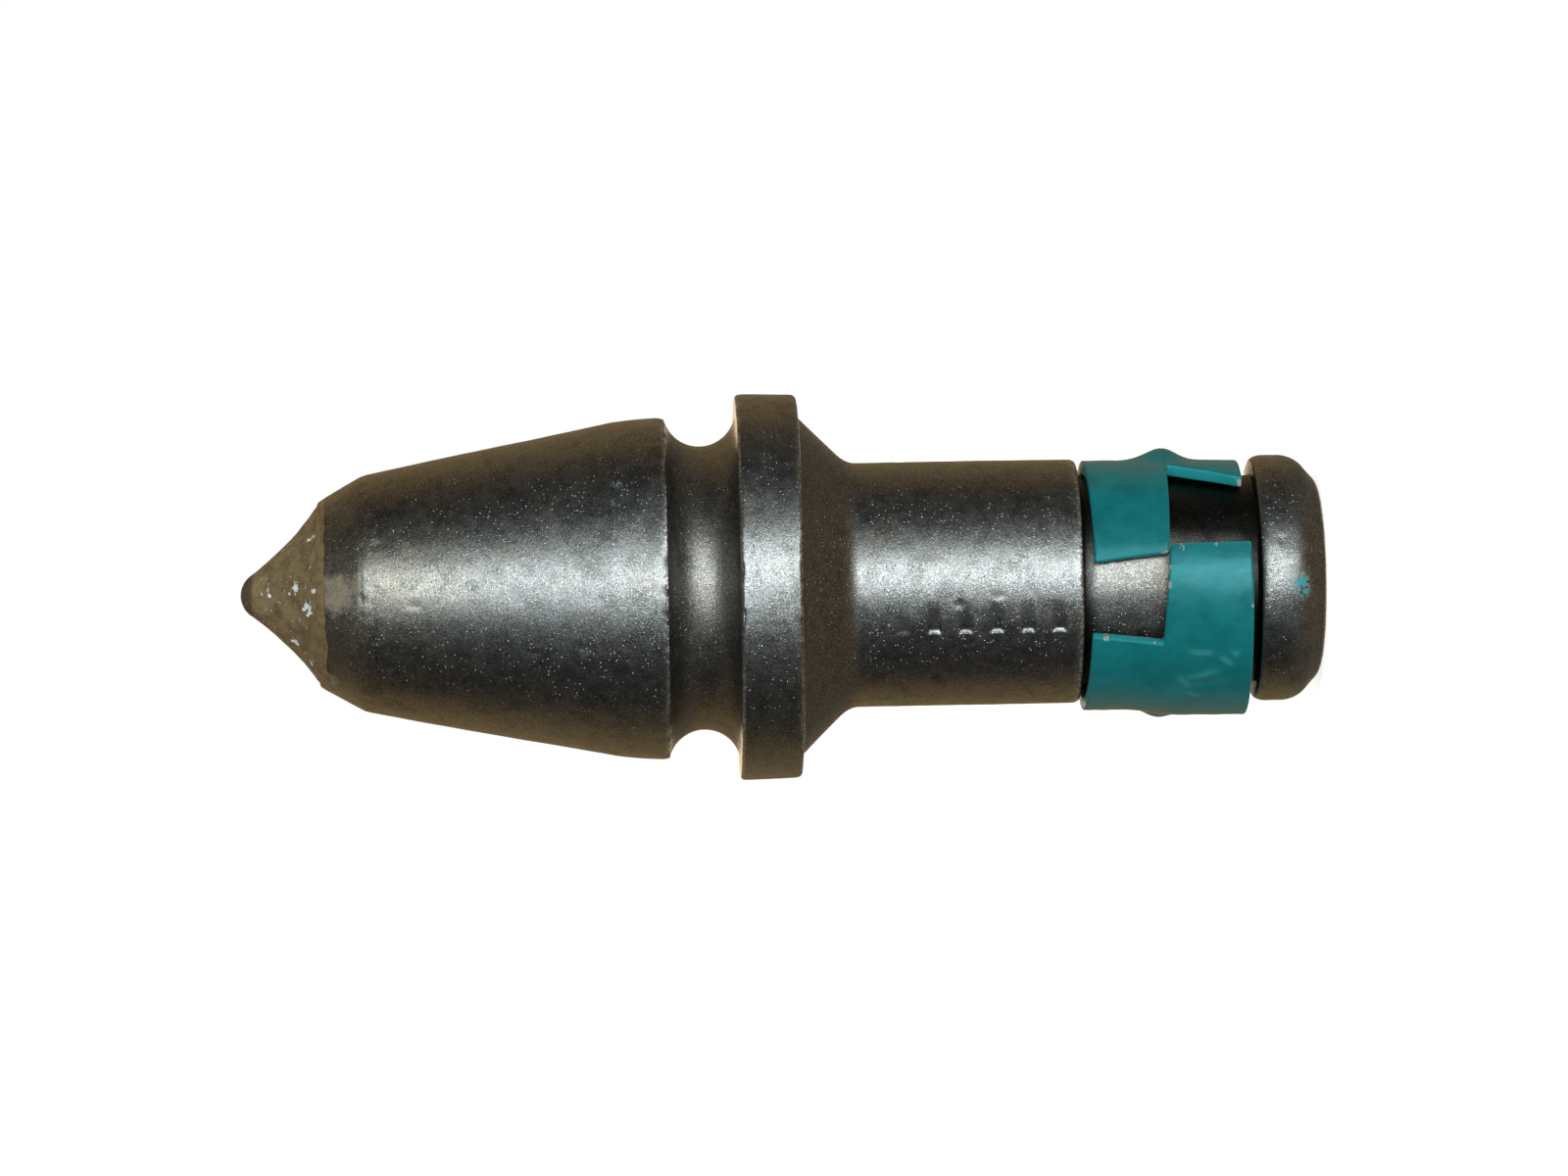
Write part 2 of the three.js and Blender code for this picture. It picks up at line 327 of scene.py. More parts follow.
def body_outline():
    """From the middle of the butt, up the outside of the forging and down into the carbide's seat."""
    o = Outline(0, 0)
    o.line(BUTT, 0, COARSE)
    o.bend(9.6, 0.05, 10.2, 0.5, 0.2)
    o.line(11.2, 1.41, 0.3)
    o.bend(12.45, 2.35, KNOB, 4.0, 0.25)
    o.line(KNOB, 5.5, 0.3)
    o.bend(KNOB, 6.7, KNOB - 0.65, KNOB_TOP)
    o.line(RETAINER_GROOVE + 0.3, KNOB_TOP, 0.5)
    o.bend(RETAINER_GROOVE, KNOB_TOP, RETAINER_GROOVE, KNOB_TOP + 0.3)
    o.line(RETAINER_GROOVE, SHANK_END - 0.3, 0.6)
    o.bend(RETAINER_GROOVE, SHANK_END, RETAINER_GROOVE + 0.3, SHANK_END)
    o.line(SHANK - 0.45, SHANK_END, 0.5)
    o.bend(SHANK - 0.05, SHANK_END + 0.05, SHANK, SHANK_END + 0.6)
    o.line(SHANK, MARKS_LOW - 1)
    o.line(SHANK, MARKS_LOW + MARKS_PITCH * (MARKS_COUNT - 1) + 1, 0.2)
    o.line(SHANK, SHOULDER_FOOT - 1.0)
    slope = (SEAT_HEIGHT - SHOULDER_FOOT) / (SEAT_INNER - SHANK)
    o.bend(SHANK, SHOULDER_FOOT, SHANK + 1.0, SHOULDER_FOOT + slope, 0.2)
    o.line(SEAT_INNER, SEAT_HEIGHT - 0.03, 0.4)
    rear = COLLAR - COLLAR_TAPER
    o.line(rear - 0.5, SEAT_HEIGHT, 0.5)
    o.bend(rear, SEAT_HEIGHT, rear, SEAT_HEIGHT + 0.5)
    o.line(COLLAR, COLLAR_TOP - 0.45, 0.4)
    o.bend(COLLAR, COLLAR_TOP, COLLAR - 0.4, COLLAR_TOP)
    o.line(17.4, COLLAR_TOP, 0.5)
    middle = COLLAR_TOP + PULLER_GROOVE_RADIUS - 0.1
    start = -180 + math.degrees(math.asin((middle - COLLAR_TOP) / PULLER_GROOVE_RADIUS))
    end = -180 - math.degrees(math.asin((CONE_FOOT - middle) / PULLER_GROOVE_RADIUS))
    o.arc(PULLER_GROOVE_FLOOR + PULLER_GROOVE_RADIUS, middle, PULLER_GROOVE_RADIUS, start, end, 0.3)
    o.line(CONE_FOOT_RADIUS - 0.2, CONE_FOOT, 0.1)
    o.bend(CONE_FOOT_RADIUS, CONE_FOOT, CONE_FOOT_RADIUS, CONE_FOOT + 0.25, 0.08)
    o.bend(CONE_FOOT_RADIUS - 0.02, CONE_FOOT + 2.2, 16.98, CONE_FOOT + 5.5, STEP)
    o.bend(14.6, 84.6, CONE_TOP_RADIUS + 0.06, CONE_TOP - 0.4, STEP)
    o.bend(CONE_TOP_RADIUS, CONE_TOP, CONE_TOP_RADIUS - 0.22, CONE_TOP + 0.4)
    o.line(NOSE_FACE_RADIUS + 0.1, NOSE_FACE - 0.18, 0.35)
    o.bend(NOSE_FACE_RADIUS, NOSE_FACE, NOSE_FACE_RADIUS - 0.1, NOSE_FACE, 0.1)
    o.line(SEAT_WALL, NOSE_FACE, 0.2)
    o.line(SEAT_WALL, NOSE_FACE - SEAT_LEDGE_DEPTH, COARSE)
    o.line(SEAT_FLOOR, NOSE_FACE - SEAT_FLOOR_DEPTH, 2)
    o.line(0, NOSE_FACE - SEAT_FLOOR_DEPTH, 2)
    return o


def body_angles():
    """Turns about +Z, closer together across the punch marks."""
    middle = MARKS_ANGLE + 360
    low, high = middle - 10, middle + 10
    before = np.arange(0, low, 1.6)
    marks = np.arange(low, high, 0.9)
    after = np.arange(high, 360, 1.6)
    return np.concatenate([before, marks, after])


def pick_body():
    surface = Turned(body_outline(), body_angles())
    surface.roughen(9.0, 0.06, 1, low=7)
    surface.roughen(2.6, 0.02, 2, low=0.1)
    surface.roughen(0.9, 0.006, 3, low=0.1)
    for r, z, depth, _ in WORN_EDGES:
        surface.nick(r, z, depth, 0.35, seed=int(z))
    scatter_pits(surface, 70, CONE_FOOT + 1, CONE_TOP - 1)
    scatter_pits(surface, 24, SHANK_END + 2, SHOULDER_FOOT - 2)
    scatter_pits(surface, 12, SEAT_HEIGHT + 1, COLLAR_TOP - 1)
    scatter_pits(surface, 12, 2, KNOB_TOP - 1)
    punch_marks(surface)
    piece = surface.build("pick_body_forging")
    surface.paint(piece, "edge_wear", bright_edges(surface))
    surface.paint(piece, "recess", recesses(surface))
    surface.paint(piece, "heat", smooth_step(CONE_TOP - 0.2, CONE_TOP + 0.2, surface.z))
    surface.paint(piece, "flux_and_reflection", flux_stains_and_reflection(surface))
    surface.paint(piece, "teal_smear", paint_smears(surface))
    # Paints shade into the retainer groove, where the sleeve and the knob shade it.
    surface.paint(piece, "groove_shade", painted_groove_shade(surface))
    return piece


def scatter_pits(surface, count, low, high):
    """Small forging pits at random places between two heights."""
    for _ in range(count):
        width = random.uniform(0.25, 0.5)
        angle = random.uniform(0, 360)
        height = random.uniform(low, high)
        length = width * random.uniform(0.8, 1.6)
        depth = random.uniform(0.02, 0.07)
        surface.dent(angle, height, width, length, depth, lip=0.01)


def punch_marks(surface):
    """One straight row of plain square punch marks along the shank, the last of them faint."""
    for i in range(MARKS_COUNT):
        depth = 0.34 if i < MARKS_COUNT - 1 else 0.1
        surface.press(MARKS_ANGLE, MARKS_LOW + i * MARKS_PITCH, 1.75, 0.75, depth)


def bright_edges(surface):
    """The edges that are worn to bright steel."""
    edges = np.zeros_like(surface.z)
    for r, z, _, bright in WORN_EDGES:
        if bright:
            edges += np.exp(-((np.hypot(surface.r - r, surface.z - z) / 0.28) ** 2))
    return np.clip(edges, 0, 1)


def recesses(surface):
    """The puller groove, the shoulder and the steel under the sleeve, where brown oxide is left."""
    groove = smooth_step(CONE_FOOT, CONE_FOOT - 1.5, surface.z)
    groove *= smooth_step(COLLAR_TOP, COLLAR_TOP + 0.8, surface.z)
    shoulder = smooth_step(SEAT_HEIGHT + 0.2, SEAT_HEIGHT - 0.3, surface.z)
    shoulder *= smooth_step(SHOULDER_FOOT - 1.2, SHOULDER_FOOT + 0.6, surface.z)
    under_sleeve = smooth_step(SHANK_END + 0.2, SHANK_END - 0.6, surface.z)
    under_sleeve *= smooth_step(6, 8, surface.z)
    return np.clip(groove * 0.7 + shoulder + under_sleeve * 0.5, 0, 1)


def flux_stains_and_reflection(surface):
    """Tan patches on the nose's chamfer, strongest at the foot of the carbide: flux stains, and a painted
    warm reflection on the side that faces the camera.
    """
    chamfer = smooth_step(CONE_TOP - 0.3, CONE_TOP + 0.3, surface.z)
    stains = np.zeros_like(surface.z)
    for angle, half_width, reach in FLUX_STAINS_AND_REFLECTION:
        fade = np.exp(-(((NOSE_FACE - surface.z) / reach) ** 2))
        stains += surface.band(angle, half_width) * chamfer * fade
    return np.clip(stains, 0, 1) * 0.6


def paint_smears(surface):
    smears = sum(surface.spot(angle, height, size) for angle, height, size in SMEARS)
    return np.clip(smears * 1.4, 0, 1)


def painted_groove_shade(surface):
    """Painted shade, near black, in the retainer groove where the sleeve and the knob shade it: at both
    ends, in its lower half and behind the slot's finger.
    """
    z = surface.z
    in_groove = (surface.r < SHANK - 0.1) & (z > KNOB_TOP - 0.15) & (z < SHANK_END + 0.1)
    groove_shade = smooth_step(SHANK_END - 1.6, SHANK_END - 0.3, z)
    groove_shade += smooth_step(KNOB_TOP + 1.8, KNOB_TOP + 0.7, z)
    groove_shade += 0.6 * smooth_step(SLOT_STEP + 0.5, SLOT_STEP - 1.5, z)
    groove_shade += 0.95 * surface.band(50, 22) * (z < SLOT_STEP + 1)
    return np.where(in_groove, np.clip(groove_shade, 0, 1), 0)


# ---------------------------------------------------------------- the carbide and its braze


def tip_outline():
    """The carbide's seat, which fits the braze cup, its hollow flank and its ball nose."""
    nose = 2.45
    meets_flank = 39
    centre = TIP_TOP - nose
    flank_r = nose * math.cos(math.radians(meets_flank))
    flank_z = centre + nose * math.sin(math.radians(meets_flank))
    inset = BRAZE + 2 * JOINT_GAP
    o = Outline(0, NOSE_FACE - SEAT_FLOOR_DEPTH + inset)
    o.line(SEAT_FLOOR, NOSE_FACE - SEAT_FLOOR_DEPTH + inset, 2)
    o.line(CARBIDE, NOSE_FACE - SEAT_LEDGE_DEPTH + inset, 2)
    o.line(CARBIDE, NOSE_FACE + 0.45, 0.3)
    o.bend(CARBIDE, NOSE_FACE + 0.7, CARBIDE - 0.5, NOSE_FACE + 1.1, 0.1)
    o.bend(5.35, TIP_TOP - 5.5, flank_r, flank_z, 0.16)
    o.arc(0, centre, nose, meets_flank, 90, 0.14)
    return o


def carbide_tip():
    surface = Turned(tip_outline(), np.arange(0, 360, 1.5))
    surface.roughen(3.0, 0.05, 4, low=NOSE_FACE)
    surface.roughen(0.7, 0.022, 5, low=NOSE_FACE)
    fresh = np.zeros_like(surface.z)
    for angle, height, size in CHIPS:
        surface.dent(angle, height, size, size, size * 0.22)
        fresh += surface.spot(angle, height, size * 0.8)
    for _ in range(40):
        angle = random.uniform(0, 360)
        height = random.uniform(NOSE_FACE + 1.2, TIP_TOP - 2)
        surface.dent(angle, height, 0.14, 0.16, 0.05)
    piece = surface.build("carbide_insert")
    surface.paint(piece, "fresh", np.clip(fresh, 0, 1))
    surface.paint(piece, "nose_cap", smooth_step(TIP_TOP - 1.5, TIP_TOP - 1.1, surface.z))
    return piece


def braze_bead():
    """The braze cup under the tip, with a bead round its foot that has run down the chamfer in places."""
    outline, under, foot, top = braze_outline()
    surface = Turned(outline, np.arange(0, 360, 1.0))
    run_down(surface, under, foot, top)
    surface.roughen(0.9, 0.035, 6, low=NOSE_FACE + 0.2)
    return surface.build("braze_bead")


def braze_outline():
    """The cup and the bead before it has run, and the rows where its underside, foot and top start."""
    outside = SEAT_WALL - JOINT_GAP
    inside = CARBIDE + JOINT_GAP
    floor = NOSE_FACE - SEAT_FLOOR_DEPTH
    ledge = NOSE_FACE - SEAT_LEDGE_DEPTH
    o = Outline(0, floor + JOINT_GAP)
    o.line(SEAT_FLOOR, floor + JOINT_GAP, 2)
    o.line(outside, ledge + JOINT_GAP, 2)
    o.line(outside, NOSE_FACE + JOINT_GAP, 0.6)
    under = len(o.points)
    o.line(NOSE_FACE_RADIUS, NOSE_FACE + JOINT_GAP, 0.05)
    foot = len(o.points)
    o.bend(NOSE_FACE_RADIUS - 0.3, NOSE_FACE + 0.4, inside + 0.08, NOSE_FACE + 0.75, 0.08)
    top = len(o.points)
    o.line(inside, NOSE_FACE + 0.7, 0.1)
    o.line(inside, ledge + JOINT_GAP + BRAZE, 0.6)
    o.line(SEAT_FLOOR, floor + JOINT_GAP + BRAZE, 2)
    o.line(0, floor + JOINT_GAP + BRAZE, 2)
    return o, under, foot, top


def run_down(surface, under, foot, top):
    """Slides the bead's rows down the nose's chamfer, its foot the furthest, just clear of the steel."""
    runs = np.array([braze_run(a) for a in surface.angles])
    fall = np.array([CONE_TOP_RADIUS - NOSE_FACE_RADIUS, CONE_TOP - NOSE_FACE])
    fall /= np.linalg.norm(fall)
    off = np.array([-fall[1], fall[0]])
    for i in range(under, top):
        if i < foot:
            share = (i - under) / (foot - under)
            lift = 0.03
        else:
            share = 1 - (i - foot) / (top - foot)
            lift = 0.03 + 0.1 * math.sin(math.pi * share) * (1 - 0.4 * share)
        slide = np.maximum(0, share - 0.25) / 0.75 * runs
        thick = lift * np.minimum(1, runs / 0.6)
        surface.r[i] += slide * fall[0] + thick * off[0]
        surface.z[i] += slide * fall[1] + thick * off[1]


def braze_run(angle):
    """How far the braze has run down the chamfer, in millimetres, at an angle."""
    place = Vector((math.cos(math.radians(angle)), math.sin(math.radians(angle)), 0.4))
    length = 0.22 + 0.25 * noise.noise(place * 5) + 0.18 * noise.noise(place * 17)
    for middle, width, reach in BRAZE_RUNS:
        near = math.exp(-((turn_between(middle, angle) / width) ** 2))
        length += reach * near * (1 + 0.25 * noise.noise(place * 30))
    return max(0.05, length)


# ---------------------------------------------------------------- the sleeve


# The side edges of the slot's upper and lower halves before they are slanted, in degrees.
UPPER_LOW = -26
UPPER_HIGH = 13
LOWER_LOW = 19
LOWER_HIGH = 65

# How each edge is slanted: the edge, the height of the sleeve's end that it runs to, the degrees that it
# swings at the slot's step and at that end, and how far round the sleeve the swing fades out.
EDGE_SWINGS = (
    (UPPER_LOW, SLEEVE_TOP, -2, 1.5, 25),
    (UPPER_HIGH, SLEEVE_TOP, 2, -2.5, 12),
    (LOWER_LOW, SLEEVE_FOOT, 0, 1, 12),
    (LOWER_HIGH, SLEEVE_FOOT, 8, -7, 60),
)


def spaced(breaks, step, first):
    """Positions that hold every break, about a step apart, with a short first step beside each break."""
    found = [breaks[0]]
    for low, high in zip(breaks, breaks[1:]):
        if high - low > 4 * first:
            n = max(1, round((high - low - 2 * first) / step))
            found += [low + first + (high - low - 2 * first) * i / n for i in range(n + 1)]
        found.append(high)
    return found


def across_sleeve(start, end):
    """The way round the sleeve from one angle to another, in millimetres."""
    return math.radians(turn_between(start, end)) * SLEEVE_OUTER


def swing(angle, z):
    """The slanted angle of a point of the unslanted sleeve."""
    for edge, end, at_step, at_end, spread in EDGE_SWINGS:
        share = (z - SLOT_STEP) / (end - SLOT_STEP)
        near = abs(turn_between(edge, angle))
        if share >= 0 and near < spread:
            fade = 0.5 + 0.5 * math.cos(math.pi * near / spread)
            return angle + (at_step + (at_end - at_step) * share) * fade
    return angle


def in_slot(angle, z):
    """Whether a point of the unslanted sleeve is in its slot: the upper half, lower half or slit."""
    half = SLOT_SLIT / 2
    upper = z > SLOT_STEP - half and (angle > UPPER_LOW + 360 or angle < UPPER_HIGH)
    lower = z < SLOT_STEP + half and LOWER_LOW < angle < LOWER_HIGH
    slit = abs(z - SLOT_STEP) < half and UPPER_HIGH < angle < LOWER_LOW
    return upper or lower or slit


def dimple(angle, z):
    """Height of the pressed dimples at a point of the sleeve."""
    rise = 0
    for middle in DIMPLE_ANGLES:
        reach = across_sleeve(middle, angle) ** 2 + (z - SLOT_STEP) ** 2
        rise += DIMPLE_HEIGHT * math.exp(-reach / (2 * DIMPLE_SPREAD**2))
    return rise


def step_height(angle, z):
    """How far the slot's step is bent up at an angle, which fades out above and below it."""
    bend = np.interp(turn_between(0, angle), (-60, -28, 14, 19, 73, 120), (0, 0.46, -0.09, -0.28, -0.6, 0))
    return bend * math.exp(-(((z - SLOT_STEP) / 3) ** 2))


def end_height(angle, z):
    """How far the sleeve's two ends, which aren't cut quite square, are moved up at an angle."""
    wrapped = turn_between(0, angle)
    top = np.interp(wrapped, (-90, -27, 12, 90), (0, -0.3, -0.55, 0))
    foot = np.interp(wrapped, (-180, -90, 0, 58, 90, 150), (0, -0.2, -0.1, 0.5, 0.5, 0))
    return float(top * smooth_step(19, SLEEVE_TOP, z) + foot * smooth_step(12, SLEEVE_FOOT, z))


def flare(angle, z):
    """The sleeve is sprung open on one side, most of all towards its foot."""
    near = abs(turn_between(270, angle))
    side = math.cos(math.radians(near)) ** 2 if near < 90 else 0
    return side * (0.1 + 0.55 * float(smooth_step(20, 14, z)))


# Places on the cut edges where the paint has chipped off: angle, height and size.
CHIPPED = (
    (15, 16.5, 0.6),
    (57, 8.0, 0.5),
    (7, 16.2, 0.4),
    (0, 16.2, 0.4),
    (20, 11.4, 0.3),
    (20, 15.2, 0.3),
    (-26, 22.8, 0.3),
    (-26, 17.2, 0.3),
    (-10, 7.8, 0.4),
    (95, 24.2, 0.6),
    (160, 7.8, 0.8),
    (212, 24.2, 0.7),
    (251, 7.8, 0.5),
)

# Short scrapes in the paint: angle, height, length along the sleeve, turn in degrees, and relief.
SCRAPES = (
    (-32.5, 12.8, 1.1, 4, 0.2),
    (-37, 10.4, 0.8, 40, 0.2),
    (-33, 9.6, 0.3, 0, 0.2),
    (-45, 12.8, 1.5, -18, 0.16),
    (-50, 12.1, 1.4, 8, -0.14),
    (-49, 14.4, 1.0, 50, 0.12),
    (-57, 13.6, 0.7, 20, 0.12),
    (135, 12.7, 1.4, 15, 0.12),
    (200, 20.2, 1.0, -20, 0.12),
)


def scrape(angle, z):
    """Height of the scrapes at a point of the sleeve."""
    rise = 0
    for middle, height, length, turn, relief in SCRAPES:
        across = across_sleeve(middle, angle)
        along = z - height
        c = math.cos(math.radians(turn))
        s = math.sin(math.radians(turn))
        u = along * c + across * s
        v = across * c - along * s
        rise += relief * math.exp(-((u / length) ** 4) - (v / 0.28) ** 2)
    return rise


def retaining_sleeve():
    """A sheet with a stepped slot, rolled up, rounded at its edges and battered."""
    bm = bmesh.new()
    for name in ("cut_edge", "scraped", "chipped"):
        bm.verts.layers.float.new(name)
    lay_sheet(bm)
    roll_up(bm)
    round_edges(bm)
    batter(bm)
    mesh = bpy.data.meshes.new("retaining_sleeve_sheet")
    bm.to_mesh(mesh)
    bm.free()
    return smooth_object(mesh, sharp=45)


def lay_sheet(bm):
    """The sheet as flat cells, placed by angle, height and depth, with those in the slot left out."""
    half = SLOT_SLIT / 2
    ends = spaced([0, UPPER_HIGH, LOWER_LOW, LOWER_HIGH, UPPER_LOW + 360, 360], 1.3, 1.6)
    angles = ends[:-1]
    heights = spaced([SLEEVE_FOOT, SLOT_STEP - half, SLOT_STEP + half, SLEEVE_TOP], 0.3, 0.35)
    outer = [[bm.verts.new((a, z, 0)) for a in angles] for z in heights]
    inner = [[bm.verts.new((a, z, SHEET)) for a in angles] for z in heights]
    count = len(angles)
    kept = {}
    for i in range(len(heights) - 1):
        for j in range(count):
            kept[i, j] = not in_slot((ends[j] + ends[j + 1]) / 2, (heights[i] + heights[i + 1]) / 2)
    for (i, j), solid in kept.items():
        if not solid:
            continue
        k = (j + 1) % count
        bm.faces.new((outer[i][j], outer[i][k], outer[i + 1][k], outer[i + 1][j]))
        bm.faces.new((inner[i][j], inner[i + 1][j], inner[i + 1][k], inner[i][k]))
        sides = (
            ((i - 1, j), (i, j), (i, k)),
            ((i + 1, j), (i + 1, k), (i + 1, j)),
            ((i, (j - 1) % count), (i + 1, j), (i, j)),
            ((i, k), (i, k), (i + 1, k)),
        )
        for neighbour, a, b in sides:
            if not kept.get(neighbour, False):
                wall = (outer[a[0]][a[1]], inner[a[0]][a[1]], inner[b[0]][b[1]], outer[b[0]][b[1]])
                bm.faces.new(wall)
    bmesh.ops.delete(bm, geom=[v for v in bm.verts if not v.link_faces], context="VERTS")


def roll_up(bm):
    """Turns each flat angle, height and depth into a point of the rolled, slanted, dimpled sleeve."""
    scraped = bm.verts.layers.float["scraped"]
    chipped = bm.verts.layers.float["chipped"]
    for v in bm.verts:
        angle, z, depth = v.co
        slanted = swing(angle, z)
        relief = scrape(slanted, z)
        v[scraped] = max(0, relief) / 0.2
        for middle, height, size in CHIPPED:
            reach = across_sleeve(middle, slanted) ** 2 + (z - height) ** 2
            v[chipped] += math.exp(-reach / size**2)
        radius = SLEEVE_OUTER - depth + dimple(slanted, z) + flare(slanted, z) + relief
        height = z + step_height(slanted, z) + end_height(slanted, z)
        a = math.radians(slanted)
        v.co = Vector((radius * math.sin(a), -radius * math.cos(a), height)) * MM


def round_edges(bm):
    """Marks the sheet's cut edges and rounds them."""
    bmesh.ops.recalc_face_normals(bm, faces=bm.faces)
    rim = [e for e in bm.edges if len(e.link_faces) == 2 and e.calc_face_angle() > math.radians(55)]
    edge = bm.verts.layers.float["cut_edge"]
    for v in {v for e in rim for v in e.verts}:
        v[edge] = 1
    bmesh.ops.bevel(bm, geom=rim, offset=0.22 * MM, segments=3, affect="EDGES", profile=0.5)


def batter(bm):
    """Small dents and unevenness, and the way that the loose sleeve lies in its groove."""
    middle = (SLEEVE_FOOT + SLEEVE_TOP) / 2
    hang = Matrix.Translation(Vector((-SLEEVE_SAG, 0, middle)) * MM)
    hang = hang @ Matrix.Rotation(math.radians(SLEEVE_TILT), 4, "Y")
    hang = hang @ Matrix.Translation(Vector((0, 0, -middle)) * MM)
    for v in bm.verts:
        place = v.co / MM
        out = Vector((place.x, place.y, 0)).normalized()
        uneven = 0.05 * noise.noise(place / 2.6) + 0.02 * noise.noise(place / 0.8)
        v.co += out * uneven * MM
    bm.transform(hang)


# ---------------------------------------------------------------- materials


class Shader:
    """A procedural material round one Principled shader."""

    def __init__(self, name):
        self.material = bpy.data.materials.new(name)
        self.material.use_nodes = True
        self.tree = self.material.node_tree
        self.surface = self.tree.nodes["Principled BSDF"]
        self.place = self.tree.nodes.new("ShaderNodeTexCoord").outputs["Object"]

    def add(self, kind, options=None, **inputs):
        """A new node. An underscore in an input's name stands for a space."""
        node = self.tree.nodes.new(kind)
        for name, value in (options or {}).items():
            setattr(node, name, value)
        for name, value in inputs.items():
            self.feed(node.inputs[name.replace("_", " ")], value)
        return node

    def feed(self, socket, value):
        if isinstance(value, bpy.types.NodeSocket):
            self.tree.links.new(value, socket)
        else:
            socket.default_value = value

    def set(self, **inputs):
        for name, value in inputs.items():
            self.feed(self.surface.inputs[name.replace("_", " ")], value)

    def noise(self, size, detail=3, roughness=0.55, stretch=None):
        """Noise with features of about a size, in millimetres."""
        place = self.place
        if stretch:
            place = self.add("ShaderNodeMapping", Vector=place, Scale=stretch).outputs[0]
        node = self.add("ShaderNodeTexNoise", Vector=place, Scale=1 / (size * MM), Detail=detail)
        node.inputs["Roughness"].default_value = roughness
        return node.outputs[0]

    def cells(self, size):
        """The distance from the middles of random cells of about a size, as a share of that size."""
        node = self.add("ShaderNodeTexVoronoi", Vector=self.place, Scale=1 / (size * MM))
        return node.outputs["Distance"]

    def height(self):
        """Height above the butt face, in millimetres."""
        split = self.add("ShaderNodeSeparateXYZ", Vector=self.place)
        return self.maths("MULTIPLY", split.outputs[2], 1000.0)

    def painted(self, name):
        """The number that the mesh stores under a name."""
        return self.add("ShaderNodeAttribute", {"attribute_name": name}).outputs["Fac"]

    def ramp(self, value, low, high, start=0.0, end=1.0):
        """Takes a value from a low to a high mark smoothly to numbers from start to end."""
        options = {"interpolation_type": "SMOOTHSTEP"}
        marks = {"From_Min": low, "From_Max": high, "To_Min": start, "To_Max": end}
        return self.add("ShaderNodeMapRange", options, Value=value, **marks).outputs[0]

    def maths(self, how, a, b=0.0):
        node = self.tree.nodes.new("ShaderNodeMath")
        node.operation = how
        self.feed(node.inputs[0], a)
        self.feed(node.inputs[1], b)
        return node.outputs[0]

    def mix(self, share, a, b):
        """A blend of two colours."""
        node = self.tree.nodes.new("ShaderNodeMix")
        node.data_type = "RGBA"
        self.feed(node.inputs[0], share)
        self.feed(node.inputs[6], colour(a))
        self.feed(node.inputs[7], colour(b))
        return node.outputs[2]

    def bump(self, height, distance, under=None):
        """Bump of a height in millimetres, on top of another bump if one is given."""
        node = self.add("ShaderNodeBump", Height=height, Distance=distance * MM)
        if under:
            self.feed(node.inputs["Normal"], under)
        return node.outputs[0]


def colour(value):
    """A colour with its alpha. A socket is passed on as it is."""
    return (*value, 1.0) if isinstance(value, tuple) else value


def forged_steel():
    s = Shader("forged_steel")
    grain = s.noise(0.13, 3, 0.65)
    facets = s.noise(0.3, 3, 0.6)
    mottle = s.noise(4.0, 5, 0.6)
    blotch = s.noise(1.3, 4, 0.6)
    rings = s.noise(0.35, 2, 0.5, stretch=(0.03, 0.03, 1.0))
    patches = s.ramp(s.noise(1.8, 3), 0.43, 0.56)
    specks = s.maths("MULTIPLY", s.ramp(s.cells(0.42), 0.24, 0.08), patches)
    recess = s.painted("recess")
    oxide = s.maths("ADD", s.ramp(mottle, 0.5, 0.8), s.maths("MULTIPLY", recess, 0.75))
    oxide = s.maths("MULTIPLY", oxide, s.ramp(blotch, 0.2, 0.6, 0.55, 1.0))
    oxide = s.maths("MINIMUM", oxide, 1.0)
    base = s.mix(s.ramp(s.height(), 80, 97), (0.175, 0.177, 0.17), (0.21, 0.19, 0.155))
    base = s.mix(s.maths("MULTIPLY", oxide, 0.75), base, (0.14, 0.10, 0.058))
    base = s.mix(s.ramp(facets, 0.6, 0.35, 0, 0.45), base, (0.07, 0.066, 0.06))
    base = s.mix(s.ramp(s.noise(2.2, 4, 0.6), 0.5, 0.66, 0, 0.6), base, (0.075, 0.076, 0.07))
    base = s.mix(s.ramp(grain, 0.52, 0.66, 0, 0.75), base, (0.44, 0.445, 0.44))
    base = s.mix(s.maths("MULTIPLY", specks, 0.5), base, (0.72, 0.72, 0.7))
    base = s.mix(s.maths("MULTIPLY", s.painted("heat"), 0.85), base, (0.042, 0.036, 0.027))
    # Tan flux stains, which aren't metallic, and on the chamfer's front a painted warm reflection.
    flux_and_reflection = s.ramp(s.maths("ADD", s.painted("flux_and_reflection"), s.maths("MULTIPLY", blotch, 0.8)), 0.7, 1.12)
    base = s.mix(s.maths("MULTIPLY", flux_and_reflection, 0.85), base, (0.13, 0.102, 0.055))
    # Painted shade: the retainer groove is darkened to near black where the sleeve and the knob shade it.
    base = s.mix(s.maths("MULTIPLY", s.painted("groove_shade"), 0.9), base, (0.01, 0.009, 0.008))
    nicks = s.maths("MULTIPLY", s.painted("edge_wear"), s.ramp(s.noise(0.4, 3), 0.48, 0.6, 0.15, 1.0))
    base = s.mix(nicks, base, (0.6, 0.6, 0.58))
    smear = s.maths("MULTIPLY", s.painted("teal_smear"), s.ramp(s.noise(0.6, 3), 0.42, 0.5))
    base = s.mix(smear, base, (0.002, 0.15, 0.16))
    coated = s.maths("MAXIMUM", s.maths("MULTIPLY", flux_and_reflection, 0.85), smear)
    rough = s.maths("ADD", s.ramp(blotch, 0.3, 0.75, 0.34, 0.43), s.maths("MULTIPLY", oxide, 0.08))
    relief = s.bump(rings, 0.008, s.bump(facets, 0.017))
    s.set(Base_Color=base, Metallic=s.maths("SUBTRACT", 1.0, coated), Roughness=rough)
    s.set(Normal=s.bump(specks, 0.038, s.bump(grain, 0.024, relief)))
    return s.material


